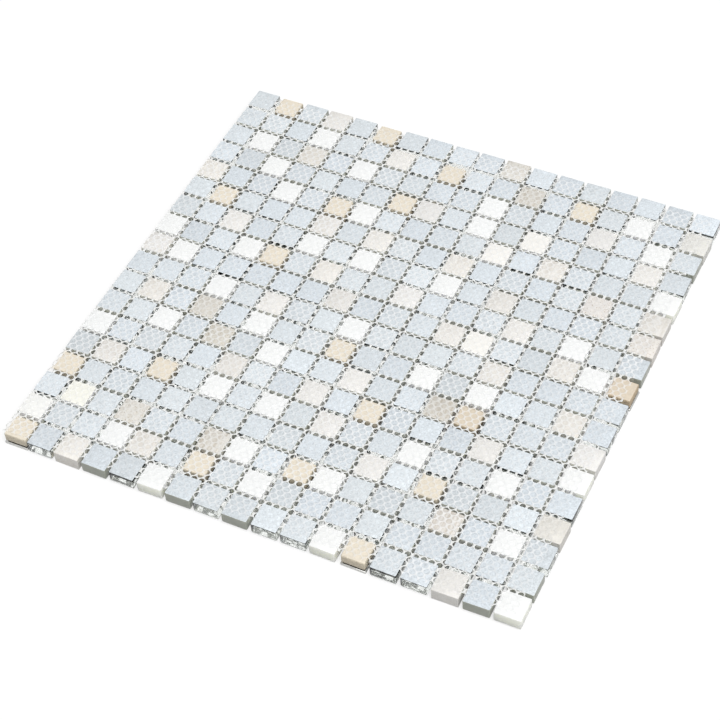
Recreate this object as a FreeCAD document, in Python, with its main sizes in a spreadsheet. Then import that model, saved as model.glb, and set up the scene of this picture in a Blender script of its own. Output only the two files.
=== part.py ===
import FreeCAD, Part
import math
import os
import random
import Sketcher

# A mosaic tile sheet that lies face down, with its backing net on top.
# The origin is the middle of the sheet, on the floor under the tiles' front faces.
# +X runs along a row of tiles, +Y along a column, and +Z up towards the net.

# Driving sizes, in millimetres and degrees.
SIZES = (
    ("tile_size", 14.8, "side of a square tile"),
    ("joint_width", 2.2, "joint left open between two tiles"),
    ("tile_thickness", 8.0, "front face to back"),
    ("glass_round", 1.6, "radius pressed along a glass tile's front edges"),
    ("marble_arris", 0.5, "flat rubbed along a marble tile's front edges"),
    ("cap_sheet", 0.3, "steel sheet that the caps are pressed from"),
    ("cap_rim", 1.7, "height of a cap's turned-up rim"),
    ("cap_corner", 0.7, "flat that stands for a cap's rounded upright corners"),
    ("cap_bend", 0.5, "flat that stands for the bend between rim and front"),
    ("body_play", 0.25, "how far a ceramic body's sides stand inside the rim"),
    ("rim_gap", 0.7, "open gap from a cap's rim up to the shoulder of its ceramic body"),
    ("foot_step", 0.8, "how far the foot in the cap stands in from that shoulder"),
    ("thread_width", 0.7, "width of a net thread"),
    ("thread_height", 0.2, "height of a net thread, pressed flat in its glue"),
    ("hole_spacing", 4.41, "from one net hole to the next in a row"),
    ("row_spacing", 3.01, "from one row of net holes to the next"),
    ("net_turn", 0.38, "how far the net is turned on the tiles"),
    ("net_shift", 1.02, "how far a net hole lies from the sheet's middle, along X"),
    ("net_rise", -1.82, "how far a net hole lies from the sheet's middle, along Y"),
    ("trim_left", 0.0, "net cut back from the left edge of the tiles"),
    ("trim_right", 4.4, "net cut back from the right edge"),
    ("trim_near", 2.6, "net cut back from the near edge"),
    ("trim_far", 3.4, "net cut back from the far edge"),
    ("shortest_thread", 6.0, "a thread cut shorter than this falls off at a corner"),
    ("drift", 0.22, "most that a tile lies off its place, laid by hand"),
    ("twist", 0.9, "most that a tile is turned"),
)

# The mix of tiles, read row by row from the far edge to the near one:
# c clear glass, g grey glass, w white glass, m marble, s steel cap on a ceramic body.
LAYING_PLAN = (
    "csgmcscgccmcgggcgc",
    "ggcwcgmcscgmcscwcm",
    "cwgmgwggcgwgccmcwg",
    "cgwgccgsmcwgwggcmc",
    "mgcwgswcggcwcmcggw",
    "csccgmgmccmcgggmcm",
    "gcmgcwcwgcwcmgcggm",
    "wgcwsgmcgmcgcmgwcg",
    "mwccgccmgggmwcgmws",
    "ccgwcmccwcgcgmgggc",
    "cmgmcwcgscgwgwccmc",
    "gcwgmgwccmgcmsgggm",
    "wcgccmcgmcsgcgmcgw",
    "gmcscwcwgmgcwccwgc",
    "scgcccgcgcgmcsggcm",
    "cwcmggmwcswcgcmgwc",
    "wccwmcsgwgcccggccg",
    "scmgcwgcgccwsccmgw",
)
# Tiles that lie well off their place: column and row from the near left corner, then the offset.
STRAY_TILES = {(0, 0): (1.4, 0.2), (0, 3): (1.0, 0.0), (13, 9): (0.3, 0.5)}
LAYING_SEED = 7
# Threads are laid this much longer than the net's diagonal, then cut at its edges.
THREAD_SPARE = 1.1


def fill_sheet(doc):
    """Put the driving sizes in a spreadsheet, one named cell each."""
    sheet = doc.addObject("Spreadsheet::Sheet", "Sizes")
    for line, (name, value, note) in enumerate(SIZES, start=1):
        sheet.set("A%d" % line, str(value))
        sheet.setAlias("A%d" % line, name)
        sheet.set("B%d" % line, note)
    doc.recompute()
    return sheet


def square_sketch(body, name, side, height="0"):
    """Draw a square of the given side, centred on the body's origin at a height."""
    sketch = body.newObject("Sketcher::SketchObject", name)
    floor = next(f for f in body.Origin.OriginFeatures if f.Role == "XY_Plane")
    sketch.AttachmentSupport = [(floor, "")]
    sketch.MapMode = "FlatFace"
    sketch.setExpression("AttachmentOffset.Base.z", height)
    corners = [FreeCAD.Vector(x, y, 0) for x, y in ((-1, -1), (1, -1), (1, 1), (-1, 1))]
    for at, corner in enumerate(corners):
        sketch.addGeometry(Part.LineSegment(corner, corners[(at + 1) % 4]))
    for line in range(4):
        sketch.addConstraint(Sketcher.Constraint("Coincident", line, 2, (line + 1) % 4, 1))
    for line, way in enumerate(("Horizontal", "Vertical", "Horizontal", "Vertical")):
        sketch.addConstraint(Sketcher.Constraint(way, line))
    sketch.addConstraint(Sketcher.Constraint("Symmetric", 0, 1, 1, 2, -1, 1))
    for line, way in ((0, "DistanceX"), (1, "DistanceY")):
        size = sketch.addConstraint(Sketcher.Constraint(way, line, 1, line, 2, 2))
        sketch.setExpression("Constraints[%d]" % size, side)
    return sketch


def square_pad(body, name, side, length, height="0"):
    """Pad a square sketch upwards."""
    pad = body.newObject("PartDesign::Pad", name)
    pad.Profile = square_sketch(body, name + "Outline", side, height)
    pad.setExpression("Length", length)
    body.Document.recompute()
    return pad


def front_edges(feature):
    """Names of the edges that lie on the floor plane, round the front face."""
    edges = feature.Shape.Edges
    return ["Edge%d" % (at + 1) for at, edge in enumerate(edges) if edge.BoundBox.ZMax < 1e-6]


def upright_edges(feature):
    """Names of the straight edges that stand upright."""
    names = []
    for at, edge in enumerate(feature.Shape.Edges):
        box = edge.BoundBox
        if box.XLength < 1e-6 and box.YLength < 1e-6:
            names.append("Edge%d" % (at + 1))
    return names


def glass_tile(doc):
    """A pressed glass tile: square sides and a front edge rounded in two flats."""
    body = doc.addObject("PartDesign::Body", "GlassTile")
    eased = "Sizes.glass_round * (1 - sin(45 deg))"
    steps = (
        ("FrontFace", "Sizes.tile_size - 2 * Sizes.glass_round", "0"),
        ("MidRound", "Sizes.tile_size - 2 * " + eased, eased),
        ("TopOfRound", "Sizes.tile_size", "Sizes.glass_round"),
        ("BackFace", "Sizes.tile_size", "Sizes.tile_thickness"),
    )
    sketches = [square_sketch(body, name, side, height) for name, side, height in steps]
    loft = body.newObject("PartDesign::AdditiveLoft", "PressedShape")
    loft.Profile = sketches[0]
    loft.Sections = sketches[1:]
    loft.Ruled = True
    doc.recompute()
    return body


def marble_tile(doc):
    """A sawn marble tile with its front edges rubbed down."""
    body = doc.addObject("PartDesign::Body", "MarbleTile")
    pad = square_pad(body, "SawnTile", "Sizes.tile_size", "Sizes.tile_thickness")
    rubbed = body.newObject("PartDesign::Chamfer", "RubbedEdges")
    rubbed.Base = (pad, front_edges(pad))
    rubbed.setExpression("Size", "Sizes.marble_arris")
    doc.recompute()
    return body


def steel_cap(doc):
    """A pan pressed from steel sheet, open at the back, with a low rim."""
    body = doc.addObject("PartDesign::Body", "SteelCap")
    blank = square_pad(body, "CapBlank", "Sizes.tile_size", "Sizes.cap_rim")
    corners = body.newObject("PartDesign::Chamfer", "CapCorners")
    corners.Base = (blank, upright_edges(blank))
    corners.setExpression("Size", "Sizes.cap_corner")
    doc.recompute()
    bend = body.newObject("PartDesign::Chamfer", "CapBend")
    bend.Base = (corners, front_edges(corners))
    bend.setExpression("Size", "Sizes.cap_bend")
    doc.recompute()
    back = max(range(len(bend.Shape.Faces)), key=lambda at: bend.Shape.Faces[at].CenterOfMass.z)
    shell = body.newObject("PartDesign::Thickness", "PressedSheet")
    shell.Base = (bend, ["Face%d" % (back + 1)])
    shell.setExpression("Value", "Sizes.cap_sheet")
    shell.Reversed = True
    doc.recompute()
    return body


def ceramic_body(doc):
    """The fired block behind a steel cap: a foot that sits in the cap, and a wider shoulder."""
    body = doc.addObject("PartDesign::Body", "CeramicBody")
    side = "(Sizes.tile_size - 2 * (Sizes.cap_sheet + Sizes.body_play))"
    shoulder = "(Sizes.cap_rim + Sizes.rim_gap)"
    block = square_pad(body, "FiredBlock", side, "Sizes.tile_thickness - " + shoulder, shoulder)
    corners = body.newObject("PartDesign::Chamfer", "BlockCorners")
    corners.Base = (block, upright_edges(block))
    corners.setExpression("Size", "Sizes.cap_corner")
    doc.recompute()
    foot_height = shoulder + " - Sizes.cap_sheet"
    square_pad(body, "Foot", side + " - 2 * Sizes.foot_step", foot_height, "Sizes.cap_sheet")
    return body


def lay_tiles(sheet):
    """Work out where each tile of the plan lies, as one list of placements for each kind."""
    pitch = sheet.get("tile_size") + sheet.get("joint_width")
    hand = random.Random(LAYING_SEED)
    middle = (len(LAYING_PLAN) - 1) / 2
    places = {}
    for row, kinds in enumerate(reversed(LAYING_PLAN)):
        for column, kind in enumerate(kinds):
            off_x, off_y = STRAY_TILES.get((column, row), (0.0, 0.0))
            x = (column - middle) * pitch + off_x + hand.uniform(-1, 1) * sheet.get("drift")
            y = (row - middle) * pitch + off_y + hand.uniform(-1, 1) * sheet.get("drift")
            turn = FreeCAD.Rotation(FreeCAD.Vector(0, 0, 1), hand.uniform(-1, 1) * sheet.get("twist"))
            place = FreeCAD.Placement(FreeCAD.Vector(x, y, 0), turn)
            places.setdefault(kind, []).append(place)
    return places


def copies(doc, name, master, places):
    """Lay copies of one object at the given places and gather them."""
    array = doc.addObject("App::Link", name + "_array")
    array.LinkedObject = master
    array.ShowElement = False
    array.ElementCount = len(places)
    array.PlacementList = places
    gathered = doc.addObject("Part::Compound", name)
    gathered.Label = name
    gathered.Links = [array]
    doc.recompute()
    return gathered


def net_outline(doc):
    """The rectangle that the net is cut to, as a block round both layers of thread."""
    block = doc.addObject("Part::Box", "NetOutline")
    rows = len(LAYING_PLAN)
    overall = "(%d * Sizes.tile_size + %d * Sizes.joint_width)" % (rows, rows - 1)
    block.setExpression("Length", overall + " - Sizes.trim_left - Sizes.trim_right")
    block.setExpression("Width", overall + " - Sizes.trim_near - Sizes.trim_far")
    block.setExpression("Height", "2 * Sizes.thread_height")
    block.setExpression("Placement.Base.x", "Sizes.trim_left - %s / 2" % overall)
    block.setExpression("Placement.Base.y", "Sizes.trim_near - %s / 2" % overall)
    block.setExpression("Placement.Base.z", "Sizes.tile_thickness")
    doc.recompute()
    return block


def chord(outline, point, along):
    """How much of the line through a point runs inside the outline's rectangle."""
    box = outline.Shape.BoundBox
    low, high = -math.inf, math.inf
    limits = ((point.x, along.x, box.XMin, box.XMax), (point.y, along.y, box.YMin, box.YMax))
    for start, step, least, most in limits:
        ends = sorted(((least - start) / step, (most - start) / step))
        low, high = max(low, ends[0]), min(high, ends[1])
    return high - low


def net_threads(doc, sheet, name, outline, slope, layer):
    """One layer of the net: threads side by side at a slope, cut at the net's edges."""
    lean = math.atan2(2 * sheet.get("row_spacing"), sheet.get("hole_spacing")) * slope
    angle = lean + math.radians(sheet.get("net_turn"))
    along = FreeCAD.Vector(math.cos(angle), math.sin(angle), 0)
    across = FreeCAD.Vector(-along.y, along.x, 0)
    spacing = sheet.get("hole_spacing") * math.sin(abs(lean))
    length = THREAD_SPARE * outline.Shape.BoundBox.DiagonalLength
    hole = FreeCAD.Vector(sheet.get("net_shift"), sheet.get("net_rise"), 0)

    thread = doc.addObject("Part::Box", name + "_thread")
    thread.Length = length
    thread.setExpression("Width", "Sizes.thread_width")
    thread.setExpression("Height", "Sizes.thread_height")

    turn = FreeCAD.Rotation(FreeCAD.Vector(0, 0, 1), math.degrees(angle))
    height = sheet.get("tile_thickness") + layer * sheet.get("thread_height")
    reach = math.ceil(length / 2 / spacing)
    places = []
    for count in range(-reach, reach + 1):
        middle = hole + across * ((count + 0.5) * spacing)
        if chord(outline, middle, along) > sheet.get("shortest_thread"):
            corner = middle - along * (length / 2) - across * (sheet.get("thread_width") / 2)
            places.append(FreeCAD.Placement(FreeCAD.Vector(corner.x, corner.y, height), turn))

    trimmed = doc.addObject("Part::Common", name)
    trimmed.Label = name
    trimmed.Base = copies(doc, name + "_uncut", thread, places)
    trimmed.Tool = outline
    doc.recompute()
    return trimmed


def check(doc, pieces):
    """Stop unless every object computed and every piece is sound."""
    for thing in doc.Objects:
        if "Invalid" in thing.State or "Error" in thing.State:
            raise RuntimeError("%s did not compute: %s" % (thing.Name, thing.State))
    for piece in pieces:
        if piece.Shape.isNull() or not piece.Shape.isValid() or not piece.Shape.Solids:
            raise RuntimeError("%s has no sound shape" % piece.Label)


def write(pieces):
    """Write each piece to its own STEP file."""
    os.makedirs("parts", exist_ok=True)
    for piece in pieces:
        piece.Shape.exportStep("parts/%s.step" % piece.Label)
        box = piece.Shape.BoundBox
        print("%s: %d solids, %.1f x %.1f x %.2f mm" % (
            piece.Label, len(piece.Shape.Solids), box.XLength, box.YLength, box.ZLength))


def main():
    doc = FreeCAD.newDocument("MosaicTileSheet")
    sheet = fill_sheet(doc)
    glass = glass_tile(doc)
    places = lay_tiles(sheet)
    outline = net_outline(doc)
    pieces = [
        copies(doc, "clear_glass_tiles", glass, places["c"]),
        copies(doc, "grey_glass_tiles", glass, places["g"]),
        copies(doc, "white_glass_tiles", glass, places["w"]),
        copies(doc, "marble_tiles", marble_tile(doc), places["m"]),
        copies(doc, "steel_tile_caps", steel_cap(doc), places["s"]),
        copies(doc, "ceramic_tile_bodies", ceramic_body(doc), places["s"]),
        net_threads(doc, sheet, "net_lower_threads", outline, slope=1, layer=0),
        net_threads(doc, sheet, "net_upper_threads", outline, slope=-1, layer=1),
    ]
    doc.recompute()
    check(doc, pieces)
    write(pieces)


main()
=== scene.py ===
# %% [markdown]
# # A mosaic tile sheet, lying face down
# The real sheet is 324 small tiles laid by hand in a square, with an open net glued over
# their backs. It lies on its front faces, so this scene shows the backs, the cut edge of the
# net and the joints between the tiles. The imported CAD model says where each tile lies. Here
# every kind of tile is modelled once, with its rounded edges, and a copy is laid on each place.

import math
import random
from collections import namedtuple

import bmesh
import bpy
import numpy as np
from mathutils import Matrix, Quaternion, Vector


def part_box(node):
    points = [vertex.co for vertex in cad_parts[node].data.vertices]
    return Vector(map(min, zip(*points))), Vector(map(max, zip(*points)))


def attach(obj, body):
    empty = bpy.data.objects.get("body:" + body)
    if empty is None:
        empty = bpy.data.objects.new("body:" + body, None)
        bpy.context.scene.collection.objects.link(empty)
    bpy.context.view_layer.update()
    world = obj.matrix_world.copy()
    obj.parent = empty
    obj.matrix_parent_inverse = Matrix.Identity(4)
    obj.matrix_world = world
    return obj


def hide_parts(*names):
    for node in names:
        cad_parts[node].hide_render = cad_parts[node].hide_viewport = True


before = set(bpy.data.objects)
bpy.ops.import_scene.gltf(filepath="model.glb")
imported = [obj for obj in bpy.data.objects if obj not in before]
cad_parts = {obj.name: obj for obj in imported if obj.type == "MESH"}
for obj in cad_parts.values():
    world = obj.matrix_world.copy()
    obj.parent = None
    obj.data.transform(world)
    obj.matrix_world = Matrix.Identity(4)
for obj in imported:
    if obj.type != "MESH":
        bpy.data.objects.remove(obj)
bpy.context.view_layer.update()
MM = 0.001
scene = bpy.context.scene
scene.view_settings.view_transform = "Standard"
bpy.ops.object.select_all(action="DESELECT")

# %% [markdown]
# ## The camera
# The sheet is looked at from its near right corner through a long lens, so its edges run
# almost parallel. A place, a point on the backs to look at and a small roll set the camera.

# %% Camera
LENS_MM = 97.05
CAMERA_PLACE = Vector((348.4, -649.7, 809.3)) * MM
LOOKS_AT = Vector((4.8, -28.2, 8.0)) * MM
CAMERA_ROLL = math.radians(-4.45)

bpy.ops.object.camera_add(location=CAMERA_PLACE)
camera = bpy.context.object
camera.name = "camera"
camera.data.lens = LENS_MM
camera.data.sensor_width = 36.0
camera.rotation_mode = "QUATERNION"
level = (LOOKS_AT - CAMERA_PLACE).to_track_quat("-Z", "Y")
camera.rotation_quaternion = level @ Quaternion((0, 0, 1), CAMERA_ROLL)
scene.camera = camera
print("camera looks down by", round(math.degrees(math.asin(
    (CAMERA_PLACE - LOOKS_AT).normalized().z))), "degrees")

# %% [markdown]
# ## Node helpers
# A material is a small graph of nodes. These helpers keep the graphs short enough to read.
# They add a node and fill or link its inputs, mix colours, and make groups to share.


# %% Helpers for shader nodes
def fill_sockets(tree, made, values):
    """Set each input of a node to a value, or link it when it is given a socket."""
    for at, value in values.items():
        if isinstance(value, bpy.types.NodeSocket):
            tree.links.new(value, made.inputs[at])
        else:
            made.inputs[at].default_value = value


def fill_by_name(tree, made, inputs):
    """Fill inputs whose names are written as one word, with _ for each space."""
    fill_sockets(tree, made, {name.replace("_", " "): value for name, value in inputs.items()})


def add_node(tree, kind, **inputs):
    """Add a shader node and fill or link its inputs."""
    made = tree.nodes.new("ShaderNode" + kind)
    fill_by_name(tree, made, inputs)
    return made


def own_place(tree):
    """The socket of a point's place on its object."""
    return tree.nodes.new("ShaderNodeTexCoord").outputs["Object"]


def split(tree, vector):
    """The sockets of a vector's X, Y and Z."""
    return add_node(tree, "SeparateXYZ", Vector=vector).outputs


def shifted_noise(tree, place, shift, scale, **detail):
    """A noise with a fourth input, so that each shift gives another pattern."""
    noise = add_node(tree, "TexNoise", **detail)
    noise.noise_dimensions = "4D"
    fill_sockets(tree, noise, {"Vector": place, "W": shift, "Scale": scale})
    return noise.outputs["Fac"]


def mix_colors(tree, share, first, second, blend="MIX"):
    """Mix two colours and return the result's socket."""
    made = tree.nodes.new("ShaderNodeMix")
    made.data_type = "RGBA"
    made.blend_type = blend
    fill_sockets(tree, made, {0: share, 6: first, 7: second})
    return made.outputs[2]


def maths(tree, operation, first, second=0.0):
    """Work out one number from two, and return its socket."""
    made = tree.nodes.new("ShaderNodeMath")
    made.operation = operation
    fill_sockets(tree, made, {0: first, 1: second})
    return made.outputs[0]


def times(tree, first, second):
    return maths(tree, "MULTIPLY", first, second)


def vector_maths(tree, operation, *values, output="Vector"):
    """Work with whole vectors, and return the result's socket."""
    made = tree.nodes.new("ShaderNodeVectorMath")
    made.operation = operation
    fill_sockets(tree, made, dict(enumerate(values)))
    return made.outputs[output]


def remap(tree, value, low, high, to_low, to_high):
    """Stretch a number from one range to another, held at its ends."""
    made = add_node(tree, "MapRange", Value=value, From_Min=low, From_Max=high,
                    To_Min=to_low, To_Max=to_high)
    return made.outputs["Result"]


def read_attribute(tree, name, output="Fac"):
    """The socket of a value that the mesh carries."""
    made = tree.nodes.new("ShaderNodeAttribute")
    made.attribute_name = name
    return made.outputs[output]


def new_group(name, inputs, outputs):
    """An empty shader group. Inputs are given with their values, outputs with their kinds."""
    group = bpy.data.node_groups.new(name, "ShaderNodeTree")
    for label, value in inputs.items():
        kind = "NodeSocketFloat" if isinstance(value, float) else "NodeSocketColor"
        socket = group.interface.new_socket(label, in_out="INPUT", socket_type=kind)
        socket.default_value = value
    for label, kind in outputs.items():
        group.interface.new_socket(label, in_out="OUTPUT", socket_type="NodeSocket" + kind)
    return group, group.nodes.new("NodeGroupInput"), group.nodes.new("NodeGroupOutput")


def use_group(tree, group, **inputs):
    """Place a group in a material and fill or link its inputs."""
    made = tree.nodes.new("ShaderNodeGroup")
    made.node_tree = group
    fill_by_name(tree, made, inputs)
    return made


def new_material(name):
    """A material with its tree and its Principled shader."""
    material = bpy.data.materials.new(name)
    material.use_nodes = True
    tree = material.node_tree
    return material, tree, tree.nodes["Principled BSDF"]


def srgb(red, green, blue):
    """A colour as a screen shows it, from 0 to 255, turned into light."""
    light = [((v / 255 + 0.055) / 1.055) ** 2.4 for v in (red, green, blue)]
    return (*light, 1.0)


print("node helpers ready")

# %% [markdown]
# ## Tone and grain, shared by every finish
# Nothing on the sheet has one flat colour. Glue dries in soft patches, and every material has
# a fine grain. One group shifts the colour that comes in by both, and the grain also comes out
# as a height for a Bump node. Each tile has its own shift of the noise, so no two look alike.


# %% Group: tone and grain
def tone_and_grain():
    group, given, out = new_group("Tone and grain", {
        "Color": (0.8, 0.8, 0.8, 1.0), "Shift": 0.0,
        "Patch size mm": 4.0, "Patch strength": 0.05,
        "Grain size mm": 0.6, "Grain strength": 0.04,
    }, {"Color": "Color", "Patches": "Float", "Height": "Float"})
    place = own_place(group)
    found = {}
    for name in ("Patch", "Grain"):
        scale = maths(group, "DIVIDE", 1 / MM, given.outputs[name + " size mm"])
        noise = shifted_noise(group, place, given.outputs["Shift"], scale,
                              Detail=3.0, Roughness=0.6)
        found[name] = remap(group, noise, 0.3, 0.7, -1.0, 1.0)
    shares = [times(group, found[name], given.outputs[name + " strength"]) for name in found]
    level = maths(group, "ADD", maths(group, "ADD", *shares), 1.0)
    toned = mix_colors(group, 1.0, given.outputs["Color"], level, "MULTIPLY")
    patches = remap(group, found["Patch"], -1.0, 1.0, 0.0, 1.0)
    fill_sockets(group, out, {"Color": toned, "Patches": patches, "Height": found["Grain"]})
    return group


TONE_AND_GRAIN = tone_and_grain()
print("group:", TONE_AND_GRAIN.name)


# %% Bump helper
def bump(tree, height, depth_mm, strength=1.0):
    """A normal that rises and falls with a height."""
    made = add_node(tree, "Bump", Height=height, Strength=strength, Distance=depth_mm * MM)
    return made.outputs["Normal"]


# %% [markdown]
# ## Where the net's holes are
# The net has round holes in staggered rows. It is modelled further down, but its measures come
# here, because glue rises round every hole and the back there is painted with shade. The holes
# repeat in two rectangular grids, one set between the other. A group takes out the net's slight
# bow and folds any point back into one rectangle of each grid. The nearer middle gives its
# distance from a hole.

# %% The net's measures
HOLE_SPACING, ROW_SPACING, HOLE_RADIUS = 4.41 * MM, 3.01 * MM, 1.6 * MM
NET_TURN = math.radians(0.38)
A_HOLE = Vector((1.02, -1.82, 0.0)) * MM
NEXT_ROW = Vector((HOLE_SPACING / 2, ROW_SPACING, 0))
HOLE_GRIDS = (Vector((0, 0, 0)), NEXT_ROW)
# The bow in mm, across and along the sheet: a steady part, then what goes with u, with u times
# v and with u squared, where u and v are the point's place over the reach.
BEND_REACH = 130 * MM
BEND = ((0.1, 0.25, 0.2, 0.15), (0.3, -0.2, 0.0, -0.75))
net_low, net_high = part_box("net_lower_threads")
net_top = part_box("net_upper_threads")[1].z
BACK_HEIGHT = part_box("marble_tiles")[1].z
print("net", [round(v / MM, 1) for v in net_high - net_low], "mm")


# %% Group: distance from a net hole
def from_net_hole():
    group, _, out = new_group("From net hole", {}, {"Distance mm": "Float"})
    place = own_place(group)
    parts = split(group, place)
    u, v = (maths(group, "DIVIDE", parts[axis], BEND_REACH) for axis in "XY")
    bends = []
    for steady, along, twist, bow in BEND:
        slope = maths(group, "ADD", times(group, v, twist),
                      maths(group, "ADD", times(group, u, bow), along))
        off = maths(group, "ADD", times(group, u, slope), steady)
        bends.append(times(group, off, MM))
    bend = add_node(group, "CombineXYZ", X=bends[0], Y=bends[1])
    even = vector_maths(group, "SUBTRACT", place, bend.outputs[0])
    on_net = add_node(group, "Mapping", Vector=even, Location=A_HOLE, Rotation=(0, 0, NET_TURN))
    on_net.vector_type = "TEXTURE"
    distances = []
    for start in HOLE_GRIDS:
        moved = vector_maths(group, "SUBTRACT", on_net.outputs[0], start)
        folded = vector_maths(group, "WRAP", moved, NEXT_ROW, -NEXT_ROW)
        distances.append(vector_maths(group, "LENGTH", folded, output="Value"))
    nearest = maths(group, "MINIMUM", *distances)
    fill_sockets(group, out, {"Distance mm": times(group, nearest, 1 / MM)})
    return group


FROM_NET_HOLE = from_net_hole()


# %% [markdown]
# Round every hole the glue rises a little, and the back just inside the hole is darkened: painted
# shade at the foot of the thread. Down the tiles' walls into the joints the colour turns paler:
# glue that has run down and dried pale, with painted light that lifts the joints' shade. The
# second group marks both, and only where the net reaches.

# %% Group: glue and painted light on a back
# The joint walls turn paler over this depth: dried glue, with painted light that lifts the
# joints' shade.
GLUE_AND_LIGHT_RUN, NET_EDGE_FADE = 5.0 * MM, 0.2 * MM
CREEP_MM = 0.5
FACES_UP = (0.7, 0.95)
# Painted shade: the back just inside every hole is darkened towards this colour, at the foot of
# the thread.
HOLE_RIM_SHADE = srgb(214, 216, 218)


def glue_and_painted_light():
    group, given, out = new_group(
        "Glue and painted light on back", {"Color": (0.8, 0.8, 0.8, 1.0), "Strength": 0.2},
        {"Color": "Color", "Rim": "Float", "Back": "Float", "Joint": "Float"})
    facing = split(group, group.nodes.new("ShaderNodeNewGeometry").outputs["True Normal"])
    back = remap(group, facing["Z"], *FACES_UP, 0.0, 1.0)
    place = own_place(group)
    within = split(group, vector_maths(
        group, "MINIMUM", vector_maths(group, "SUBTRACT", place, net_low),
        vector_maths(group, "SUBTRACT", net_high, place)))
    covered = remap(group, maths(group, "MINIMUM", within["X"], within["Y"]),
                    0.0, NET_EDGE_FADE, 0.0, 1.0)
    hole = use_group(group, FROM_NET_HOLE).outputs[0]
    creep = remap(group, hole, HOLE_RADIUS / MM - CREEP_MM, HOLE_RADIUS / MM, 0.0, 1.0)
    rim = times(group, times(group, creep, creep), times(group, back, covered))
    glue_and_light_reach = remap(group, split(group, place)["Z"], BACK_HEIGHT - GLUE_AND_LIGHT_RUN,
                     BACK_HEIGHT - GLUE_AND_LIGHT_RUN / 2, 0.0, 1.0)
    upright = maths(group, "SUBTRACT", 1.0, back)
    joint = times(group, times(group, upright, covered), glue_and_light_reach)
    # Darken the ring inside each hole: painted shade at the foot of the thread.
    color = mix_colors(group, times(group, rim, given.outputs["Strength"]),
                       given.outputs["Color"], HOLE_RIM_SHADE, "MULTIPLY")
    fill_sockets(group, out, {"Color": color, "Rim": rim, "Back": back, "Joint": joint})
    return group


GLUE_AND_PAINTED_LIGHT = glue_and_painted_light()
print("groups:", FROM_NET_HOLE.name, "and", GLUE_AND_PAINTED_LIGHT.name)


# %% [markdown]
# ## One body, one back
# Coated glass, grey and white glass, marble and clay all have the same two layers: the body's
# own tone and grain, and the glue with its rims and runs, where the rims carry painted shade and
# the runs painted light. One helper puts both groups into a material, so that each material only
# adds what is its own.


# %% Helper: tone, grain, glue and painted light in one material
RIM_RISE = 0.06
GLUE_ROUGHNESS = 0.42
# The pale colour of the joint walls: dried glue, with painted light that lifts the joints' shade.
DRIED_GLUE_AND_LIGHT = srgb(246, 246, 238)


def glued_body(tree, rim_shade_strength, patch, grain, roughness, grain_depth, glue_and_light_run=0.0, color=None):
    """Give a body its tone and glue, with painted shade round the holes and painted light in the
    joints. Patch and grain are each a size in mm and a strength.
    """
    color = color or read_attribute(tree, "tile_color", "Color")
    toned = use_group(
        tree, TONE_AND_GRAIN, Color=color, Shift=read_attribute(tree, "tile_shift"),
        Patch_size_mm=patch[0], Patch_strength=patch[1],
        Grain_size_mm=grain[0], Grain_strength=grain[1],
    )
    glued = use_group(tree, GLUE_AND_PAINTED_LIGHT, Color=toned.outputs["Color"], Strength=rim_shade_strength)
    bare = remap(tree, toned.outputs["Patches"], 0.0, 1.0, roughness - 0.07, roughness + 0.09)
    film = remap(tree, toned.outputs["Patches"], 0.0, 1.0, GLUE_ROUGHNESS - 0.1,
                 GLUE_ROUGHNESS + 0.2)
    rough = tree.nodes.new("ShaderNodeMix")
    fill_sockets(tree, rough, {0: glued.outputs["Back"], 2: bare, 3: film})
    height = maths(tree, "ADD", times(tree, toned.outputs["Height"], grain_depth),
                   times(tree, glued.outputs["Rim"], RIM_RISE))
    # Joint walls paler: dried glue with painted light.
    paled = mix_colors(tree, times(tree, glued.outputs["Joint"], glue_and_light_run),
                       glued.outputs["Color"], DRIED_GLUE_AND_LIGHT)
    return paled, {"Roughness": rough.outputs[0], "Normal": bump(tree, height, 1.0)}


# %% [markdown]
# ## Glass
# Three of the five kinds are pressed glass. Clear and grey tiles carry a thin opaque coat of
# pale blue on their backs. The clear ones have see-through sides, so light bends through them
# and shows the coat from within. Just under the coat their sides get a painted dark reflection,
# a dark line that is thin on most and wide on a few. The grey ones have even matt sides. The
# white ones are milky all through, so light comes out of their sides and brightens the joints,
# and their walls in the joints are also painted near white as painted light.


# %% Material: coated back of a glass tile
def coated_back():
    material, tree, shader = new_material("coated_back")
    color, finish = glued_body(
        tree, rim_shade_strength=0.2, patch=(2.2, 0.09), grain=(1.0, 0.2),
        roughness=0.5, grain_depth=0.02)
    fill_sockets(tree, shader, {"Base Color": color, **finish})
    return material


# %% Material: clear glass
# Width of the painted dark reflection under the coat, least and most, in mm.
DARK_REFLECTION_LINE_MM, MOSTLY_THIN = (0.15, 1.8), 2.4


def clear_glass():
    material, tree, shader = new_material("clear_glass")
    place = own_place(tree)
    rippled = add_node(tree, "Mapping", Vector=place, Scale=(1.0, 1.0, 2.6))
    shift = read_attribute(tree, "tile_shift")
    wave = shifted_noise(tree, rippled.outputs[0], shift, 1 / (8.0 * MM), Detail=0.0)
    from_back = maths(tree, "SUBTRACT", BACK_HEIGHT, split(tree, place)["Z"])
    uneven = maths(tree, "POWER", maths(tree, "FRACT", shift), MOSTLY_THIN)
    line_width = remap(tree, uneven, 0.0, 1.0, *(width * MM for width in DARK_REFLECTION_LINE_MM))
    # A dark line along the top of the sides, under the coat: a painted dark reflection.
    painted_dark_reflection = remap(tree, maths(tree, "SUBTRACT", from_back, line_width),
                      0.0, 0.15 * MM, 1.0, 0.0)
    fill_sockets(tree, shader, {
        "Base Color": mix_colors(tree, painted_dark_reflection, srgb(250, 253, 250), srgb(32, 34, 32)),
        "Roughness": 0.05, "IOR": 1.5, "Transmission Weight": 0.95,
        "Normal": bump(tree, wave, 0.3),
    })
    return material


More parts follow.
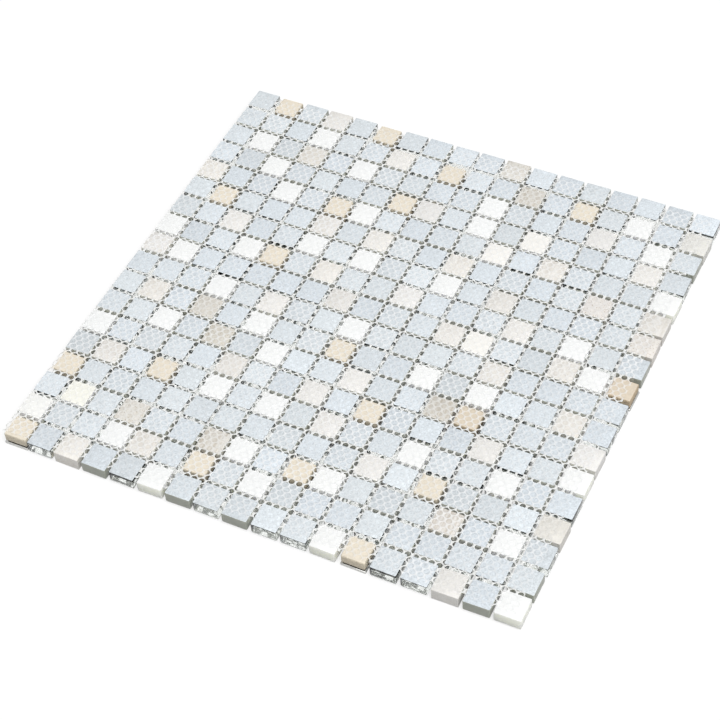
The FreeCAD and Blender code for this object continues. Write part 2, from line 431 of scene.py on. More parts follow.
# %% Materials: grey and white glass
def grey_glass():
    material, tree, shader = new_material("grey_glass")
    color, finish = glued_body(
        tree, rim_shade_strength=0.0, patch=(5.0, 0.05), grain=(0.5, 0.02),
        roughness=0.34, grain_depth=0.01, glue_and_light_run=0.38, color=srgb(164, 167, 157))
    fill_sockets(tree, shader, {
        "Base Color": color, **finish,
        "Subsurface Weight": 0.7, "Subsurface Scale": 2.0 * MM,
        "Subsurface Radius": (1.0, 1.0, 0.9),
    })
    return material


def white_glass():
    material, tree, shader = new_material("white_glass")
    color, finish = glued_body(
        tree, rim_shade_strength=0.15, patch=(5.0, 0.015), grain=(0.8, 0.02),
        roughness=0.25, grain_depth=0.015, glue_and_light_run=1.0)
    glue = use_group(tree, GLUE_AND_PAINTED_LIGHT)
    deeper = mix_colors(tree, 1.0, color, srgb(248, 249, 239), "MULTIPLY")
    # Walls in the joints are painted near white: painted light that lifts the joints' shade.
    side = mix_colors(tree, glue.outputs["Joint"], deeper, srgb(253, 254, 249))
    fill_sockets(tree, shader, {
        "Base Color": mix_colors(tree, glue.outputs["Back"], side, color), **finish,
        "Subsurface Weight": remap(tree, glue.outputs["Back"], 0.0, 1.0, 1.0, 0.15),
        "Subsurface Scale": 3.5 * MM, "Subsurface Radius": (1.0, 1.0, 0.95),
    })
    return material


COATED_BACK = coated_back()
CLEAR_GLASS = clear_glass()
GREY_GLASS = grey_glass()
WHITE_GLASS = white_glass()
print("glass materials ready")

# %% [markdown]
# ## Marble and fired clay
# The stone tiles are cut from slabs of cream and grey marble. Some are almost plain, some have
# fine parallel streaks like wood, and some are speckled. Each tile's shift picks another
# stretch of the slab. The clay bodies behind the steel caps are plain tan, and paler on the
# back where glue has dried. Their feet, in the gap under the shoulder, are painted dark brown:
# the glue that holds them in the caps, with painted shade.


# %% Material: marble
def marble():
    material, tree, shader = new_material("marble")
    color, finish = glued_body(
        tree, rim_shade_strength=0.15, patch=(4.0, 0.05), grain=(0.8, 0.07),
        roughness=0.55, grain_depth=0.03, glue_and_light_run=0.9)
    place = own_place(tree)
    stretch = add_node(tree, "Mapping", Vector=place, Scale=(1.0, 0.12, 0.6),
                       Rotation=(0.0, 0.0, math.radians(12)))
    noise = shifted_noise(tree, stretch.outputs[0], read_attribute(tree, "tile_shift"),
                          1 / (1.6 * MM), Detail=4.0, Roughness=0.55, Distortion=0.4)
    streaks = remap(tree, noise, 0.38, 0.62, 0.0, 1.0)
    streaked = mix_colors(tree, times(tree, streaks, read_attribute(tree, "tile_streaks")),
                          color, srgb(226, 221, 214), "MULTIPLY")
    specks = add_node(tree, "TexVoronoi", Vector=place, Scale=1 / (1.3 * MM))
    spots = times(tree, remap(tree, specks.outputs["Distance"], 0.12, 0.3, 1.0, 0.0),
                  read_attribute(tree, "tile_specks"))
    specked = mix_colors(tree, spots, streaked, srgb(206, 196, 182), "MULTIPLY")
    fill_sockets(tree, shader, {
        "Base Color": specked, **finish,
        "Subsurface Weight": 0.25, "Subsurface Scale": 1.5 * MM,
        "Subsurface Radius": (1.0, 1.0, 0.9),
    })
    return material


# %% Material: fired clay
# The foot's dark brown is glue with painted shade in the gap under the shoulder.
CLAY_PALED, PALED_CLAY, GLUE_AND_SHADE_BROWN = 0.45, srgb(250, 241, 226), srgb(48, 36, 27)
RIM_GAP = 0.7 * MM
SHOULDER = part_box("steel_tile_caps")[1].z + RIM_GAP


def fired_clay():
    material, tree, shader = new_material("fired_clay")
    color, finish = glued_body(
        tree, rim_shade_strength=0.4, patch=(2.2, 0.1), grain=(1.0, 0.17),
        roughness=0.7, grain_depth=0.05)
    back = use_group(tree, GLUE_AND_PAINTED_LIGHT).outputs["Back"]
    paled = mix_colors(tree, times(tree, back, CLAY_PALED), color, PALED_CLAY)
    # The foot under the shoulder is painted dark brown: glue, with painted shade in the gap.
    in_cap = remap(tree, split(tree, own_place(tree))["Z"], SHOULDER, SHOULDER + 0.3 * MM,
                   1.0, 0.0)
    fill_sockets(tree, shader, {
        "Base Color": mix_colors(tree, in_cap, paled, GLUE_AND_SHADE_BROWN), **finish})
    return material


MARBLE = marble()
FIRED_CLAY = fired_clay()
print("stone and clay materials ready")

# %% [markdown]
# ## Brushed steel
# The caps are pressed from brushed sheet. The brush leaves fine lines that run across the
# front and stand upright on the rim. Two stretched noises make them, and the face's own
# direction picks which one shows.


# %% Material: brushed steel
def brushed_steel():
    material, tree, shader = new_material("brushed_cap_steel")
    place = own_place(tree)
    facing = split(tree, tree.nodes.new("ShaderNodeNewGeometry").outputs["Normal"])
    lines = []
    for stretch in ((0.05, 1.0, 0.05), (1.0, 1.0, 0.08)):
        turned = add_node(tree, "Mapping", Vector=place, Scale=stretch)
        noise = add_node(tree, "TexNoise", Vector=turned.outputs[0], Scale=1 / (0.18 * MM),
                         Detail=3.0)
        lines.append(remap(tree, noise.outputs["Fac"], 0.3, 0.7, 0.0, 1.0))
    on_front = maths(tree, "ABSOLUTE", facing["Z"])
    upright = maths(tree, "SUBTRACT", 1.0, on_front)
    brushed = maths(tree, "ADD", times(tree, lines[0], on_front),
                    times(tree, lines[1], upright))
    fill_sockets(tree, shader, {
        "Base Color": mix_colors(tree, brushed, srgb(150, 149, 146), srgb(218, 218, 216)),
        "Metallic": 1.0,
        "Roughness": remap(tree, brushed, 0.0, 1.0, 0.18, 0.36),
        "Normal": bump(tree, brushed, 0.02),
    })
    return material


BRUSHED_STEEL = brushed_steel()
print("steel material ready")

# %% [markdown]
# ## Net thread
# The net is white thread. Across a joint it hangs free and stays white. On a tile the glue
# has soaked it, so it takes on most of the colour under it and nearly disappears. The mesh
# carries how far each point lies off the nearest tile, and the colour of the thread once it
# is soaked. A noise that is fine across the distance from a hole, and long along it, draws
# the fibres round every hole.


# %% Material: net thread
FREE_THREAD, GLUED_THREAD = srgb(239, 240, 238), srgb(250, 251, 252)
FIBRES_ACROSS, FIBRES_ALONG, FIBRE_SHADE = 9.0, 0.8 / MM, 0.14


def net_thread():
    material, tree, shader = new_material("net_thread")
    off_tile = read_attribute(tree, "off_tile")
    free = remap(tree, off_tile, -0.25, 0.15, 0.0, 1.0)
    color = mix_colors(tree, free, read_attribute(tree, "soaked_color", "Color"), FREE_THREAD)
    place = split(tree, own_place(tree))
    across = times(tree, use_group(tree, FROM_NET_HOLE).outputs[0], FIBRES_ACROSS)
    along = [times(tree, place[axis], FIBRES_ALONG) for axis in "XY"]
    fibre_place = add_node(tree, "CombineXYZ", X=across, Y=along[0], Z=along[1])
    fibres = add_node(tree, "TexNoise", Vector=fibre_place.outputs[0], Scale=1.0, Detail=2.0)
    shade = remap(tree, fibres.outputs["Fac"], 0.3, 0.7, 0.0, 1.0)
    between = times(tree, maths(tree, "SUBTRACT", 1.0, shade), FIBRE_SHADE)
    thread = mix_colors(tree, between, color, srgb(190, 192, 190), "MULTIPLY")
    toned = use_group(
        tree, TONE_AND_GRAIN, Color=thread, Shift=0.0,
        Patch_size_mm=2.2, Patch_strength=0.06, Grain_size_mm=0.5, Grain_strength=0.04,
    )
    fill_sockets(tree, shader, {
        "Base Color": toned.outputs["Color"],
        "Roughness": remap(tree, free, 0.0, 1.0, 0.45, 0.8),
        "Subsurface Weight": remap(tree, free, 0.0, 1.0, 0.0, 0.7),
        "Subsurface Scale": 0.5 * MM, "Subsurface Radius": (1.0, 1.0, 1.0),
        "Normal": bump(tree, shade, 0.04),
    })
    return material


NET_THREAD = net_thread()
print("thread material ready")

# %% [markdown]
# ## Where the tiles lie
# Each CAD node holds all the tiles of one kind. Its mesh is loose triangles, so a copy is
# welded first and then walked island by island. The middle of an island is the tile's place,
# and the direction of its largest upright face is its turn.

# %% Read the tiles from the frame
WELD = 0.001 * MM
Tile = namedtuple("Tile", "x y turn")


def islands(work):
    """The connected groups of faces of a welded mesh."""
    seen = set()
    for start in work.faces:
        if start in seen:
            continue
        seen.add(start)
        island, waiting = [], [start]
        while waiting:
            face = waiting.pop()
            island.append(face)
            for edge in face.edges:
                for near in edge.link_faces:
                    if near not in seen:
                        seen.add(near)
                        waiting.append(near)
        yield island


def read_tiles(node):
    """The place and turn of every tile in a CAD node, and the side of one tile."""
    work = bmesh.new()
    work.from_mesh(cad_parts[node].data)
    bmesh.ops.remove_doubles(work, verts=work.verts, dist=WELD)
    tiles = []
    for island in islands(work):
        corners = [corner.co for face in island for corner in face.verts]
        x, y = ((min(v[axis] for v in corners) + max(v[axis] for v in corners)) / 2
                for axis in (0, 1))
        upright = [face for face in island if abs(face.normal.z) < 0.1]
        side = max(upright, key=lambda face: face.calc_area()).normal
        quarter = math.pi / 2
        turn = (math.atan2(side.y, side.x) + quarter / 2) % quarter - quarter / 2
        tiles.append(Tile(x, y, turn))
        reach = max((v - Vector((x, y, v.z))).dot(side) for v in corners)
    work.free()
    return sorted(tiles), 2 * reach


KINDS = {
    "clear_glass_tiles": "clear glass", "grey_glass_tiles": "grey glass",
    "white_glass_tiles": "white glass", "marble_tiles": "marble",
    "ceramic_tile_bodies": "clay",
}
laid, sides = {}, {}
for node, kind in KINDS.items():
    laid[kind], sides[kind] = read_tiles(node)
    print(kind, "-", len(laid[kind]), "tiles of", round(sides[kind] / MM, 2), "mm")

# %% [markdown]
# The tiles make a square grid, so a tile's column and row follow from its place and the
# pitch. They are counted from the near left corner.

# %% Columns and rows
every_tile = [tile for tiles in laid.values() for tile in tiles]
TILES_ACROSS = round(math.sqrt(len(every_tile)))
first, last = (pick(tile.y for tile in every_tile) for pick in (min, max))
PITCH = (last - first) / (TILES_ACROSS - 1)
SIDE = sides["marble"]


def grid_place(tile):
    """Column and row of a tile."""
    middle = (TILES_ACROSS - 1) / 2
    return tuple(round(v / PITCH + middle) for v in (tile.x, tile.y))


print(TILES_ACROSS, "by", TILES_ACROSS, "tiles, pitch", round(PITCH / MM, 2), "mm")

# %% [markdown]
# ## A colour for every tile
# Tiles of one kind differ a little in tone, and a seeded draw gives each one its own. Some
# are named by column and row: backs that are paler or darker or show more or less of their
# net, stone that is greyer, warmer, streaked or speckled, and white glass yellowed by glue.

# %% Tones
# Each kind's colour, how far its tones spread, and how much paler than the back under it a
# soaked thread stays, least and most.
KIND_LOOKS = {
    "clear glass": (srgb(217, 224, 229), 0.045, 0.2, 0.7),
    "grey glass": (srgb(211, 218, 223), 0.045, 0.3, 0.75),
    "white glass": (srgb(248, 249, 248), 0.012, 0.3, 0.5),
    "marble": (srgb(237, 235, 231), 0.05, 0.1, 0.5),
    "clay": (srgb(214, 204, 184), 0.03, 0.35, 0.65),
}
PALE_BACKS = {
    (4, 14), (7, 8), (12, 5), (14, 7), (11, 12), (10, 9), (9, 0), (7, 6), (17, 17), (9, 13),
    (15, 17), (16, 3), (9, 11), (12, 3), (5, 8), (9, 6), (16, 14), (7, 12), (6, 2), (1, 16),
    (15, 8), (4, 12), (7, 17), (8, 10), (3, 0), (1, 13),
}
DARK_BACKS = {
    (0, 4), (8, 11), (12, 2), (17, 2), (12, 7), (9, 1), (8, 3), (3, 14), (1, 14), (7, 0),
    (14, 0), (2, 13), (10, 1), (17, 14), (4, 0), (1, 1), (16, 12), (14, 3), (1, 0), (2, 15),
    (17, 12), (15, 0), (12, 11), (14, 4), (14, 11), (14, 16), (3, 9), (6, 8),
}
STRONG_NETS = {
    (2, 13), (17, 2), (4, 2), (8, 11), (12, 2), (12, 7), (0, 4), (10, 3), (8, 3), (14, 12),
    (12, 12), (3, 14), (9, 1), (2, 15), (6, 8), (9, 9), (12, 8), (14, 3), (16, 4), (14, 6),
}
GREY_STONES = {(11, 16), (12, 6), (3, 15), (3, 7), (10, 17), (3, 2), (6, 2), (17, 3)}
STREAKED_STONES = {(11, 16), (6, 2), (12, 6), (14, 2)}
SPECKLED_STONES = {(10, 17), (4, 6), (3, 2), (15, 12), (17, 11)}
PLAIN_BACKS = {
    (15, 17), (7, 6), (11, 12), (7, 8), (9, 0), (12, 5), (0, 12), (4, 17), (9, 12), (12, 15),
    (1, 13), (5, 14), (4, 4), (3, 12), (15, 14), (2, 16), (15, 12), (17, 16), (3, 0),
}
OWN_COLORS = {
    (14, 2): srgb(236, 232, 226), (15, 12): srgb(234, 231, 228), (17, 11): srgb(232, 228, 223),
    (17, 16): srgb(233, 232, 227), (1, 2): srgb(247, 246, 236), (12, 14): srgb(247, 245, 240),
    (11, 13): srgb(247, 245, 240), (12, 9): srgb(247, 245, 240), (0, 1): srgb(248, 248, 245),
    (17, 9): srgb(190, 172, 146), (13, 6): srgb(190, 174, 148), (4, 6): srgb(217, 213, 203),
}
PALE, DARK, STRONG_NET, PLAIN_NET = 1.06, 0.94, 0.6, 0.1
GREY_STONE = srgb(225, 222, 215)


def tile_looks(kind, tile):
    """Colour, pattern shift, streaks and specks of one tile, and how much its net shows."""
    place = grid_place(tile)
    draw = random.Random("tile %d %d" % place)
    kind_color, spread, least, most = KIND_LOOKS[kind]
    color = OWN_COLORS.get(place, kind_color)
    if kind == "marble" and place in GREY_STONES:
        color = GREY_STONE
    level = 1 + draw.uniform(-1, 1) * spread
    warmth = draw.uniform(-1, 1) * spread * 0.3
    level *= PALE if place in PALE_BACKS else DARK if place in DARK_BACKS else 1.0
    tints = (level + warmth / 2, level, level - warmth)
    shown = least + (most - least) * draw.random() ** 2
    shown = STRONG_NET if place in STRONG_NETS else PLAIN_NET if place in PLAIN_BACKS else shown
    return {
        "tile_color": (*(min(c * t, 0.98) for c, t in zip(color, tints)), 1.0),
        "tile_shift": draw.uniform(0, 50),
        "tile_streaks": 1.0 if place in STREAKED_STONES else draw.choice((0.1, 0.3, 0.5)),
        "tile_specks": 1.0 if place in SPECKLED_STONES else draw.choice((0.0, 0.0, 0.25)),
        "net_shown": shown,
        "quarter_turns": draw.randrange(4),
    }


looks = {kind: [tile_looks(kind, tile) for tile in tiles] for kind, tiles in laid.items()}
print("toned", sum(len(group) for group in looks.values()), "tiles")

# %% [markdown]
# ## Modelling one tile of each kind
# Each tile starts as a block of the size that the frame gives, and its edges are bevelled in
# edit mode as they are worn or pressed on the real one. The edges are found by where they
# lie: round the front face, round the back face, or up the corners.


# %% Helpers for modelling in edit mode
def start_block(name, side, low, high):
    """A square block between two heights, opened in edit mode."""
    bpy.ops.mesh.primitive_cube_add(
        size=1, location=(0, 0, (low + high) / 2), scale=(side, side, high - low))
    block = bpy.context.object
    block.name = name
    bpy.ops.object.transform_apply(location=True, rotation=True, scale=True)
    bpy.ops.object.mode_set(mode="EDIT")
    bpy.ops.mesh.select_mode(type="EDGE")
    return block


def select_edges(block, wanted):
    """Select only the edges whose two ends pass a test."""
    bpy.ops.mesh.select_all(action="DESELECT")
    work = bmesh.from_edit_mesh(block.data)
    for edge in work.edges:
        if all(wanted(corner.co) for corner in edge.verts):
            edge.select_set(True)
    bmesh.update_edit_mesh(block.data)


def bevel(block, wanted, width, steps):
    """Bevel the edges whose two ends pass a test."""
    select_edges(block, wanted)
    bpy.ops.mesh.bevel(offset=width, offset_type="OFFSET", segments=steps, affect="EDGES",
                       clamp_overlap=True)


def at_height(height):
    return lambda point: abs(point.z - height) < WELD


def on_diagonal(point):
    """True on the four upright corners and on the mitres that run in from them."""
    return abs(abs(point.x) - abs(point.y)) < WELD


def close_block(block, materials, back_from):
    """Leave edit mode, and give the second material to what lies above a height."""
    bpy.ops.object.mode_set(mode="OBJECT")
    for material in materials:
        block.data.materials.append(material)
    for face in block.data.polygons:
        face.material_index = len(materials) - 1 if face.center.z > back_from else 0
    bpy.ops.object.shade_smooth_by_angle(angle=math.radians(40))
    print(block.name, "-", len(block.data.polygons), "faces")
    return block


# %% [markdown]
# A glass tile is pressed in a mould: its front edge is rounded by well over a millimetre, and
# its upright corners are eased. The back is sharp, with the coat just turning over its edge.
# The front is bevelled before the corners, because the corner's bevel then follows the mitres
# down and under.

# %% Glass tile
GLASS_ROUND, GLASS_CORNER, COAT_EDGE = 1.6 * MM, 0.55 * MM, 0.12 * MM


def model_glass(name, *materials):
    block = start_block(name, SIDE, 0.0, BACK_HEIGHT)
    bevel(block, at_height(0.0), GLASS_ROUND, 3)
    bevel(block, on_diagonal, GLASS_CORNER, 2)
    bevel(block, at_height(BACK_HEIGHT), COAT_EDGE, 1)
    return close_block(block, materials, BACK_HEIGHT - COAT_EDGE)


# %% [markdown]
# A marble tile is sawn and then rubbed down round its front face. The saw leaves the back
# edges crisp, so they get a very small bevel that only catches the light.

# %% Marble tile
MARBLE_ARRIS, SAWN_EDGE = 0.5 * MM, 0.14 * MM


def model_marble():
    block = start_block("marble_tile", SIDE, 0.0, BACK_HEIGHT)
    bevel(block, at_height(0.0), MARBLE_ARRIS, 2)
    bevel(block, on_diagonal, SAWN_EDGE, 1)
    bevel(block, at_height(BACK_HEIGHT), SAWN_EDGE, 1)
    return close_block(block, (MARBLE,), BACK_HEIGHT)


# %% [markdown]
# The steel-faced tile is two pieces. The cap is a shallow pan of thin sheet: a block with
# rounded corners and a bent front edge, its back face deleted and Solidify giving it the
# sheet's thickness inwards. The clay body is a block with softly worn edges. Its shoulder
# stays above the rim, which leaves a dark gap, and a narrower foot, made with inset and
# extrude, stands in the cap.

# %% Steel cap and clay body
CAP_CORNER, CAP_BEND, CAP_SHEET = 0.75 * MM, 0.5 * MM, 0.3 * MM
CLAY_CORNER, CLAY_EDGE = 0.7 * MM, 0.3 * MM
FOOT_STEP = 0.8 * MM


def model_cap():
    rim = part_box("steel_tile_caps")[1].z
    block = start_block("steel_cap", SIDE, 0.0, rim)
    bevel(block, on_diagonal, CAP_CORNER, 4)
    bevel(block, at_height(0.0), CAP_BEND, 3)
    bpy.ops.mesh.select_mode(type="FACE")
    select_edges(block, at_height(rim))
    bpy.ops.mesh.delete(type="FACE")
    bpy.ops.object.mode_set(mode="OBJECT")
    sheet = block.modifiers.new("sheet", "SOLIDIFY")
    sheet.thickness, sheet.offset = CAP_SHEET, -1.0
    bpy.ops.object.modifier_apply(modifier=sheet.name)
    bpy.ops.object.mode_set(mode="EDIT")
    return close_block(block, (BRUSHED_STEEL,), BACK_HEIGHT)


def model_clay():
    foot, high = (corner.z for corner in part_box("ceramic_tile_bodies"))
    block = start_block("clay_body", sides["clay"], SHOULDER, high)
    bevel(block, on_diagonal, CLAY_CORNER, 3)
    bevel(block, at_height(high), CLAY_EDGE, 2)
    bpy.ops.mesh.select_mode(type="FACE")
    select_edges(block, at_height(SHOULDER))
    bpy.ops.mesh.inset(thickness=FOOT_STEP)
    bpy.ops.mesh.extrude_region_move(TRANSFORM_OT_translate={"value": (0, 0, foot - SHOULDER)})
    return close_block(block, (FIRED_CLAY,), BACK_HEIGHT)


# %% [markdown]
# ## Laying the copies
# A copy of the finished tile goes to each place, with a mesh of its own that carries its
# colour and pattern shift. Real tiles are laid any way round, so each copy also gets a random
# quarter turn. The copies of a kind are then joined into one piece that stands for its node.


# %% Lay and join
def give_values(mesh, values):
    """Write a tile's own values on every point of its mesh."""
    for name in ("tile_shift", "tile_streaks", "tile_specks"):
        stored = mesh.attributes.new(name, "FLOAT", "POINT")
        stored.data.foreach_set("value", [values[name]] * len(mesh.vertices))
    stored = mesh.attributes.new("tile_color", "FLOAT_COLOR", "POINT")
    stored.data.foreach_set("color", list(values["tile_color"]) * len(mesh.vertices))


def lay_copies(master, kind, node):
    """Lay a copy of one tile on every place of its kind, and join them."""
    bpy.ops.object.select_all(action="DESELECT")
    for tile, values in zip(laid[kind], looks[kind]):
        copy = bpy.data.objects.new(node, master.data.copy())
        scene.collection.objects.link(copy)
        turn = Matrix.Rotation(tile.turn + values["quarter_turns"] * math.pi / 2, 4, "Z")
        copy.data.transform(Matrix.Translation((tile.x, tile.y, 0)) @ turn)
        give_values(copy.data, values)
        copy.select_set(True)
    bpy.context.view_layer.objects.active = copy
    bpy.ops.object.join()
    bpy.data.objects.remove(master)
    piece = bpy.context.object
    piece.name = piece.data.name = "laid_" + node
    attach(piece, "root")
    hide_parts(node)
    bpy.ops.object.select_all(action="DESELECT")
    print(piece.name, "-", len(laid[kind]), "copies,", len(piece.data.polygons), "faces")
    return piece


tiles_laid = [
    lay_copies(model_glass("clear_tile", CLEAR_GLASS, COATED_BACK),
               "clear glass", "clear_glass_tiles"),
    lay_copies(model_glass("grey_tile", GREY_GLASS, COATED_BACK),
               "grey glass", "grey_glass_tiles"),
    lay_copies(model_glass("white_tile", WHITE_GLASS),
               "white glass", "white_glass_tiles"),
    lay_copies(model_marble(), "marble", "marble_tiles"),
    lay_copies(model_cap(), "clay", "steel_tile_caps"),
    lay_copies(model_clay(), "clay", "ceramic_tile_bodies"),
]

# %% [markdown]
# ## The net
# The real net is knitted, with round holes in staggered rows, narrow threads between the rows
# and wider knots between the holes of a row. One hole is modelled as a ring of faces that
# reaches out to a six-sided cell. Such cells fit together without a gap, so a second one is
# set half a step over, and two Array modifiers repeat the pair. Bowed, cut, thickened with
# Solidify and pressed on the tiles, this makes the net. It comes in three strips, to keep each
# mesh a sensible size.

# %% How often the cell repeats
RING_POINTS = 12
STRIPS = 3
net_width, net_length = (net_high[axis] - net_low[axis] for axis in (0, 1))
columns = math.ceil(net_width / HOLE_SPACING / STRIPS) + 1
double_rows = math.ceil(net_length / ROW_SPACING / 2) + 2
print(columns, "columns a strip,", double_rows, "double rows")


# %% One cell of the net
def cell_outline():
    """Twelve points round a cell: its six corners and the middles of its six sides."""
    across = HOLE_SPACING / 2
    shoulder = (ROW_SPACING ** 2 - across ** 2) / (2 * ROW_SPACING)
    peak = ROW_SPACING - shoulder
    quarter = [(across, 0), (across, shoulder), (across / 2, (shoulder + peak) / 2), (0, peak)]
    half = quarter + [(-x, y) for x, y in reversed(quarter[:-1])]
    return half + [(x, -y) for x, y in reversed(half[1:-1])]


def model_cell():
    """A ring of faces from a round hole out to its six-sided cell."""
    bpy.ops.mesh.primitive_circle_add(vertices=RING_POINTS, radius=HOLE_RADIUS,
                                      fill_type="NOTHING", enter_editmode=True)
    cell = bpy.context.object
    bpy.ops.mesh.select_all(action="SELECT")
    bpy.ops.mesh.extrude_edges_move()
    outline = cell_outline()
    work = bmesh.from_edit_mesh(cell.data)
    for point in work.verts:
        if point.select:
            at = round(math.atan2(point.co.y, point.co.x) / (2 * math.pi) * RING_POINTS)
            point.co.x, point.co.y = outline[at % RING_POINTS]
    bmesh.update_edit_mesh(cell.data)
    bpy.ops.mesh.select_all(action="SELECT")
    bpy.ops.mesh.duplicate()
    bpy.ops.transform.translate(value=NEXT_ROW)
    bpy.ops.mesh.select_all(action="SELECT")
    bpy.ops.mesh.remove_doubles(threshold=WELD)
    bpy.ops.mesh.normals_make_consistent(inside=False)
    bpy.ops.object.mode_set(mode="OBJECT")
    if cell.data.polygons[0].normal.z < 0:
        cell.data.flip_normals()
    print("a pair of cells has", len(cell.data.polygons), "faces")
    return cell


# %% One strip of the net
def repeat(piece, count, step):
    """Repeat a piece along a step, welded to its copies, with an applied Array."""
    array = piece.modifiers.new("repeat", "ARRAY")
    array.count = count
    array.use_relative_offset, array.use_constant_offset = False, True
    array.constant_offset_displace = step
    array.use_merge_vertices, array.merge_threshold = True, 10 * WELD
    bpy.ops.object.modifier_apply(modifier=array.name)


def trim(piece):
    """Cut a strip off at the net's four edges."""
    bpy.ops.object.mode_set(mode="EDIT")
    for corner, sign in ((net_low, -1), (net_high, 1)):
        for axis in (0, 1):
            bpy.ops.mesh.select_all(action="SELECT")
            outwards = Vector((1 - axis, axis, 0)) * sign
            bpy.ops.mesh.bisect(plane_co=corner, plane_no=outwards, clear_outer=True)
    bpy.ops.mesh.select_all(action="SELECT")
    bpy.ops.mesh.dissolve_degenerate(threshold=WELD)
    bpy.ops.object.mode_set(mode="OBJECT")


def read_points(mesh):
    """The places of a mesh's points, one a row."""
    points = np.zeros(len(mesh.vertices) * 3, np.float32)
    mesh.vertices.foreach_get("co", points)
    return points.reshape(-1, 3).astype(float)


def write_points(mesh, points):
    mesh.vertices.foreach_set("co", points.astype(np.float32).ravel())


def net_bend(points):
    """How far the net lies off its even grid at each point, across and along."""
    u, v = (points[:, axis] / BEND_REACH for axis in (0, 1))
    return MM * np.stack([steady + u * (along + twist * v + bow * u)
                          for steady, along, twist, bow in BEND], axis=1)


def model_strip(name, number):
    """One third of the flat net, in its place on the backs of the tiles."""
    strip = model_cell()
    strip.name = strip.data.name = name
    repeat(strip, columns, (HOLE_SPACING, 0, 0))
    repeat(strip, double_rows, (0, 2 * ROW_SPACING, 0))
    first_column = (number - STRIPS / 2) * columns
    corner = Vector((round(first_column) * HOLE_SPACING, -double_rows * ROW_SPACING, 0))
    on_backs = A_HOLE + Vector((0, 0, net_low.z))
    strip.data.transform(
        Matrix.Translation(on_backs) @ Matrix.Rotation(NET_TURN, 4, "Z")
        @ Matrix.Translation(corner))
    points = read_points(strip.data)
    points[:, :2] += net_bend(points)
    write_points(strip.data, points)
    trim(strip)
    thick = strip.modifiers.new("thread", "SOLIDIFY")
    thick.thickness, thick.offset = net_top - net_low.z, 1.0
    bpy.ops.object.modifier_apply(modifier=thick.name)
    return strip


# %% [markdown]
# The thread is shaped by moving the points of its upper side. They are lowered round each
# hole, which rounds the thread, and stay highest at the knots. On a tile the net is pressed
# flat in its glue, and over a joint it sags a little, so every point looks up its nearest tile.

# %% The tiles as a grid
# Each place holds a tile's x, y and turn, how much of the net it shows, and its colour.
grid = np.zeros((TILES_ACROSS, TILES_ACROSS, 8))
for kind, tiles in laid.items():
    for tile, values in zip(tiles, looks[kind]):
        color = np.array(values["tile_color"])
        if kind == "clay":
            color = color + (np.array(PALED_CLAY) - color) * CLAY_PALED
        grid[grid_place(tile)] = (*tile, values["net_shown"], *color)


def off_nearest_tile(points):
    """Each point's distance outside the nearest tile's edge, and that tile's place."""
    middle = (TILES_ACROSS - 1) / 2
    cell = np.floor(points[:, :2] / PITCH + middle).astype(int)
    best = np.full(len(points), np.inf)
    place = np.zeros((len(points), 2), int)
    for step in ((0, 0), (1, 0), (0, 1), (1, 1)):
        at = np.clip(cell + step, 0, TILES_ACROSS - 1)
        x, y, turn = grid[at[:, 0], at[:, 1], :3].T
        along, across = points[:, 0] - x, points[:, 1] - y
        local_x = np.cos(turn) * along + np.sin(turn) * across
        local_y = np.cos(turn) * across - np.sin(turn) * along
        off = np.maximum(np.abs(local_x), np.abs(local_y)) - SIDE / 2
        nearer = off < best
        best[nearer], place[nearer] = off[nearer], at[nearer]
    return best, place


def off_nearest_hole(points):
    """Each point's distance from the middle of the nearest hole of the net."""
    even = points[:, :2] - net_bend(points)
    turned = np.array(Matrix.Rotation(-NET_TURN, 2)) @ (even - np.array(A_HOLE[:2])).T
    best = np.full(len(points), np.inf)
    for start in HOLE_GRIDS:
        across = (turned[0] - start.x + HOLE_SPACING / 2) % HOLE_SPACING - HOLE_SPACING / 2
        along = (turned[1] - start.y + ROW_SPACING) % (2 * ROW_SPACING) - ROW_SPACING
        best = np.minimum(best, np.hypot(across, along))
    return best


# %% Shape the thread and give it its colour
# Heights are shares of the net's own. The ridge of a soaked thread shows more than its edges.
PRESSED, RIM_HEIGHT, THREAD_HEIGHT, SAG = 0.3, 0.45, 0.85, 0.15 * MM
PRESS_FROM, PRESS_TO = -0.3 * MM, 0.1 * MM
RIM_WIDTH, KNOT_FROM, KNOT_TO = 0.05 * MM, 2.1 * MM, 2.3 * MM
EDGE_SHOWN, RIDGE_SHOWN, RIDGE_WIDTH = 0.35, 1.3, 0.4 * MM


def smooth_step(value, low, high):
    share = np.clip((value - low) / (high - low), 0, 1)
    return share * share * (3 - 2 * share)


def shape_thread(strip):
    """Round the thread, press it on the tiles, and store where it is soaked with glue."""
    mesh = strip.data
    points = read_points(mesh)
    off, place = off_nearest_tile(points)
    from_hole = off_nearest_hole(points)
    free = smooth_step(off, PRESS_FROM, PRESS_TO)
    knot = smooth_step(from_hole, KNOT_FROM, KNOT_TO)
    height = np.where(from_hole < HOLE_RADIUS + RIM_WIDTH, RIM_HEIGHT,
                      THREAD_HEIGHT + (1 - THREAD_HEIGHT) * knot)
    height *= PRESSED + (1 - PRESSED) * free
    upper = points[:, 2] > (net_low.z + net_top) / 2
    points[:, 2] = net_low.z + np.where(upper, height * (net_top - net_low.z), 0)
    points[:, 2] -= SAG * smooth_step(off, 0.0, (PITCH - SIDE) / 2)
    write_points(mesh, points)
    stored = mesh.attributes.new("off_tile", "FLOAT", "POINT")
    stored.data.foreach_set("value", np.clip(off / MM, -2, 2).astype(np.float32))
    ridge = smooth_step(from_hole, HOLE_RADIUS, HOLE_RADIUS + RIDGE_WIDTH)
    under = grid[place[:, 0], place[:, 1]]
    shown = under[:, 3] * (EDGE_SHOWN + (RIDGE_SHOWN - EDGE_SHOWN) * ridge)
    soaked = under[:, 4:] + (np.array(GLUED_THREAD) - under[:, 4:]) * shown[:, None]
    stored = mesh.attributes.new("soaked_color", "FLOAT_COLOR", "POINT")
    stored.data.foreach_set("color", soaked.astype(np.float32).ravel())
    mesh.update()


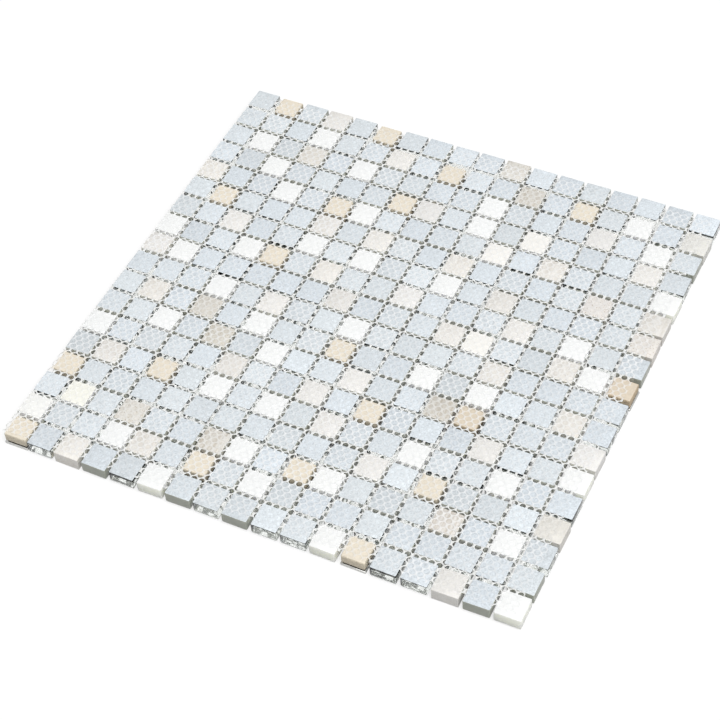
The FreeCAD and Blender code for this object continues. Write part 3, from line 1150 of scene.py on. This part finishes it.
def finish_strip(strip):
    """Dress a strip, give it the thread's material and tie it to the frame."""
    shape_thread(strip)
    strip.data.materials.append(NET_THREAD)
    bpy.ops.object.shade_smooth_by_angle(angle=math.radians(80))
    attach(strip, "root")
    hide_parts("net_lower_threads", "net_upper_threads")
    xs = [corner[0] for corner in strip.bound_box]
    print(strip.name, "-", len(strip.data.vertices), "points,", len(strip.data.polygons), "faces")


for number, side_name in enumerate(("left", "middle", "right")):
    net_strip = model_strip("net_" + side_name, number)
    finish_strip(net_strip)
    bpy.ops.object.select_all(action="DESELECT")

# %% [markdown]
# ## Floor and light
# The sheet lies on a pale floor under even, soft light: a bright room all round and one large
# lamp above, to the right and in front. Seen directly, in a reflection or through glass, the
# floor also glows, so it comes out white while the joints between the tiles still hold shadow.

# %% Floor
FLOOR_SIZE, FLOOR_DROP = 6.0, 0.05 * MM
FLOOR_TONE, FLOOR_GLOW = (0.4, 0.4, 0.4, 1.0), 0.62


def seen_directly(tree):
    """1 for a ray that comes from the camera, a reflection or through glass."""
    path = tree.nodes.new("ShaderNodeLightPath")
    seen = maths(tree, "MAXIMUM", path.outputs["Is Camera Ray"], path.outputs["Is Glossy Ray"])
    return maths(tree, "MAXIMUM", seen, path.outputs["Is Transmission Ray"])


bpy.ops.mesh.primitive_plane_add(size=FLOOR_SIZE, location=(0, 0, -FLOOR_DROP))
floor = bpy.context.object
floor.name = "floor"
floor_paint, tree, shader = new_material("floor_paint")
fill_sockets(tree, shader, {
    "Base Color": FLOOR_TONE, "Roughness": 0.9, "Specular IOR Level": 0.0,
    "Emission Color": (1.0, 1.0, 1.0, 1.0),
    "Emission Strength": times(tree, seen_directly(tree), FLOOR_GLOW),
})
floor.data.materials.append(floor_paint)

# %% Room and lamp
ROOM_STRENGTH = 0.3
LAMP_PLACE, LAMP_SIZE, LAMP_POWER = Vector((2.8, -2.0, 6.9)), 7.3, 632

room = bpy.data.worlds.new("room")
scene.world = room
room.use_nodes = True
background = room.node_tree.nodes["Background"]
seen = seen_directly(room.node_tree)
fill_sockets(room.node_tree, background, {
    "Color": (1.0, 1.0, 1.0, 1.0),
    "Strength": remap(room.node_tree, seen, 0.0, 1.0, ROOM_STRENGTH, 1.0),
})

bpy.ops.object.light_add(type="AREA", location=LAMP_PLACE)
lamp = bpy.context.object
lamp.name = "softbox"
lamp.data.shape = "SQUARE"
lamp.data.size = LAMP_SIZE
lamp.data.energy = LAMP_POWER
lamp.rotation_mode = "QUATERNION"
lamp.rotation_quaternion = (-lamp.location).to_track_quat("-Z", "Y")
bpy.ops.object.select_all(action="DESELECT")
print("floor and light set")
